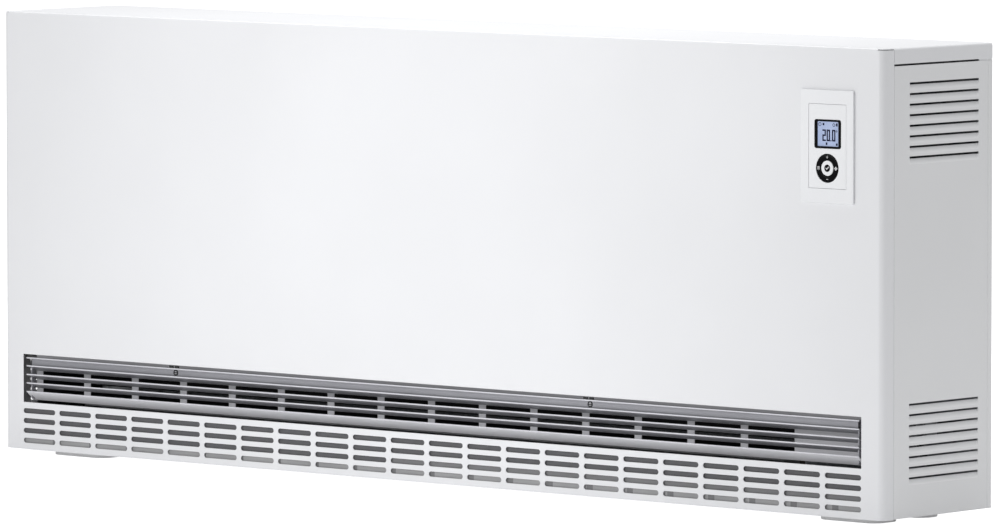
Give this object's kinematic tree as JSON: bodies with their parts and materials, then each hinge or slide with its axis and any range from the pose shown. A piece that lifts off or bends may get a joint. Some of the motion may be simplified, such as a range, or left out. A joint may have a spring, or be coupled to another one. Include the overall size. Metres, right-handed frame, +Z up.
{
  "type": "fan storage heater",
  "caption": "Long low wall-side electric storage heater with a fan: sheet-metal casing, low warm-air grille over intake slots, side louvres and a digital control unit.",
  "frame": {"origin": "on the floor, in the middle of the heater's width and depth", "axes": "+X along the width to the viewer's right when facing the front, +Y towards the wall, +Z up; the front faces -Y"},
  "size_m": [1.655, 0.2392, 0.6475],
  "materials": {
    "white_paint": "smooth satin white powder coat",
    "side_paint": "smooth satin white powder coat",
    "sheet_steel": "galvanised sheet",
    "foot_plastic": "moulded, matt",
    "steel_hardware": "bright zinc",
    "fan_metal": "rolled sheet",
    "storage_brick": "fired iron-oxide brick",
    "insulation_board": "pressed mineral fibre board",
    "duct_aluminium": "grey anodised sheet",
    "grille_aluminium": "grey anodised extrusion",
    "motor_iron": "laminated stack, lacquered",
    "bronze": "sintered",
    "filter_plastic": "fine mesh in a moulded frame",
    "control_plastic": "fine satin moulding",
    "gloss_black": "high gloss",
    "display_glass": "pale blue liquid crystal display",
    "circuit_board": "glass-fibre board with solder resist",
    "grey_plastic": "moulded",
    "controller_case": "moulded with vents",
    "black_rubber": "matt"
  },
  "bodies": {
    "root": {"front_panel": "white_paint", "top_cover": "white_paint", "left_side_panel": "side_paint", "right_side_panel": "side_paint", "rear_panel": "sheet_steel", "base_tray": "sheet_steel", "core_shelf": "sheet_steel", "inner_front_cover": "sheet_steel", "electrical_bulkhead": "sheet_steel", "fan_housing": "sheet_steel", "left_foot": "foot_plastic", "right_foot": "foot_plastic", "left_lower_panel_screw": "steel_hardware", "left_upper_panel_screw": "steel_hardware", "right_lower_panel_screw": "steel_hardware", "right_upper_panel_screw": "steel_hardware", "flap_pivot_rod": "steel_hardware", "core_sensor": "steel_hardware", "lower_heating_element": "steel_hardware", "middle_heating_element": "steel_hardware", "upper_heating_element": "steel_hardware", "front_lower_brick_course": "storage_brick", "front_middle_brick_course": "storage_brick", "front_upper_brick_course": "storage_brick", "rear_lower_brick_course": "storage_brick", "rear_middle_brick_course": "storage_brick", "rear_upper_brick_course": "storage_brick", "front_insulation": "insulation_board", "rear_insulation": "insulation_board", "left_insulation": "insulation_board", "right_insulation": "insulation_board", "top_insulation": "insulation_board", "base_insulation": "insulation_board", "outlet_duct": "duct_aluminium", "fan_motor": "motor_iron", "left_fan_bearing": "bronze", "right_fan_bearing": "bronze", "bimetal_coil": "bronze", "lint_filter": "filter_plastic", "control_housing": "control_plastic", "control_face": "control_plastic", "display_frame": "gloss_black", "display_lcd": "display_glass", "control_board": "circuit_board", "terminal_block": "grey_plastic", "safety_limiter": "grey_plastic", "charge_controller": "controller_case", "wiring_loom": "black_rubber", "mains_cable": "black_rubber", "cable_grommet": "black_rubber"},
    "fan_rotor": {"left_fan_rotor": "fan_metal", "right_fan_rotor": "fan_metal", "fan_shaft": "steel_hardware"},
    "mixing_flap": {"mixing_flap": "sheet_steel"},
    "outlet_grille": {"outlet_grille": "grille_aluminium"},
    "left_grille_lock": {"left_grille_lock": "steel_hardware"},
    "right_grille_lock": {"right_grille_lock": "steel_hardware"},
    "ring_carrier": {"ring_button_carrier": "grey_plastic"},
    "ring_button": {"ring_button": "gloss_black"},
    "ok_button": {"ok_button": "control_plastic"}
  },
  "joints": [
    {"name": "fan_spin", "type": "hinge", "parent": "root", "child": "fan_rotor", "pos_m": [0, 0.00335, 0.043], "axis": [1, 0, 0], "continuous": true},
    {"name": "flap_tilt", "type": "hinge", "parent": "root", "child": "mixing_flap", "pos_m": [0, -0.05065, 0.073], "axis": [1, 0, 0], "range_deg": [0, 25]},
    {"name": "grille_tilt", "type": "hinge", "parent": "root", "child": "outlet_grille", "pos_m": [0, -0.11165, 0.085], "axis": [1, 0, 0], "range_deg": [0, 35]},
    {"name": "left_lock_turn", "type": "hinge", "parent": "outlet_grille", "child": "left_grille_lock", "pos_m": [-0.4899, -0.10765, 0.1353], "axis": [0, 1, 0], "range_deg": [0, 90]},
    {"name": "right_lock_turn", "type": "hinge", "parent": "outlet_grille", "child": "right_grille_lock", "pos_m": [0.2981, -0.10765, 0.1353], "axis": [0, 1, 0], "range_deg": [0, 90]},
    {"name": "ring_tilt_up_down", "type": "hinge", "parent": "root", "child": "ring_carrier", "pos_m": [0.7304, -0.11515, 0.4825], "axis": [1, 0, 0], "range_deg": [-2, 2]},
    {"name": "ring_tilt_left_right", "type": "hinge", "parent": "ring_carrier", "child": "ring_button", "pos_m": [0.7304, -0.11515, 0.4825], "axis": [0, 0, 1], "range_deg": [-2, 2]},
    {"name": "ok_press", "type": "slide", "parent": "root", "child": "ok_button", "axis": [0, 1, 0], "range_m": [0, 0.0008]}
  ]
}
